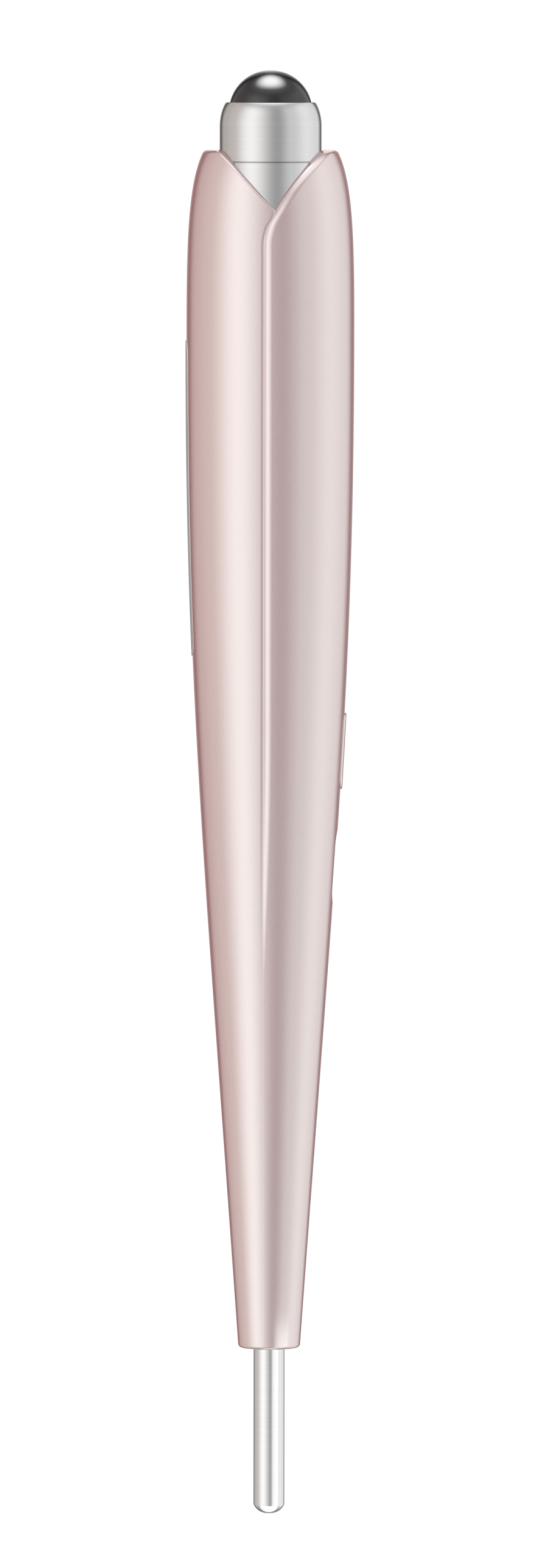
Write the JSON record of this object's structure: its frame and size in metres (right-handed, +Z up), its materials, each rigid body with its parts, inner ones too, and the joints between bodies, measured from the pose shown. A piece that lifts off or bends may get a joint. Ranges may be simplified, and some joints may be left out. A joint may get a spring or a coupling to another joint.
{
  "type": "facial massage stick",
  "caption": "Slim tulip-shaped massage stick with a roller ball head, a round metal probe, a push button, a charging port and a palm electrode strip.",
  "frame": {"origin": "middle of the stick's box at its lowest point, as it lies on its side", "axes": "+X along the stick from the probe rod towards the ball; +Z up, through the notch between the petals; -Y towards the push button and the charging port"},
  "size_m": [0.1898, 0.0221, 0.0222],
  "materials": {
    "pearl_shell": "pearl lacquer, rose with a fine sparkle",
    "satin_steel": "satin, turned",
    "strip_steel": "satin",
    "probe_steel": "polished",
    "dark_ball": "dark plating, softly polished",
    "contact_brass": "bright",
    "spring_steel": "plain",
    "white_nylon": "matte",
    "seal_rubber": "matte",
    "cell_pouch": "foil pouch",
    "board_laminate": "solder mask",
    "black_plastic": "matte",
    "ferrite": "matte",
    "ceramic": "matte",
    "led_lens": "clear",
    "plated_can": "nickel",
    "wire_red": "wire sleeve",
    "wire_black": "wire sleeve",
    "wire_blue": "wire sleeve",
    "wire_white": "wire sleeve",
    "wire_yellow": "wire sleeve"
  },
  "bodies": {
    "handle": {"ball_collar": "satin_steel", "ball_cup": "white_nylon", "contact_pin": "contact_brass", "contact_spring": "spring_steel", "collar_seal": "seal_rubber", "neck": "satin_steel", "button_shell": "pearl_shell", "palm_shell": "pearl_shell", "palm_strip": "strip_steel", "strip_contact": "contact_brass", "case_screws": "spring_steel", "inner_frame": "white_nylon", "battery_cell": "cell_pouch", "battery_plug": "white_nylon", "battery_lead_red": "wire_red", "battery_lead_black": "wire_black", "circuit_board": "board_laminate", "control_chip": "black_plastic", "boost_coil": "ferrite", "chip_parts": "ceramic", "status_led": "led_lens", "tact_switch": "plated_can", "charging_socket": "plated_can", "socket_tongue": "black_plastic", "probe_rod": "probe_steel", "rod_holder": "white_nylon", "rod_contact": "contact_brass", "rod_clip": "spring_steel", "rod_seal": "seal_rubber", "rod_lead": "wire_blue", "ball_lead": "wire_white", "strip_lead": "wire_yellow"},
    "ball": {"roller_ball": "dark_ball"},
    "button": {"push_button": "pearl_shell", "switch_plunger": "black_plastic"}
  },
  "joints": [
    {"name": "ball_roll", "type": "hinge", "parent": "handle", "child": "ball", "pos_m": [0.08937, 0, 0.01105], "axis": [0, 1, 0], "continuous": true},
    {"name": "button_press", "type": "slide", "parent": "handle", "child": "button", "axis": [0, 1, 0], "range_m": [0, 0.0003], "stiffness_N_per_m": 500}
  ]
}
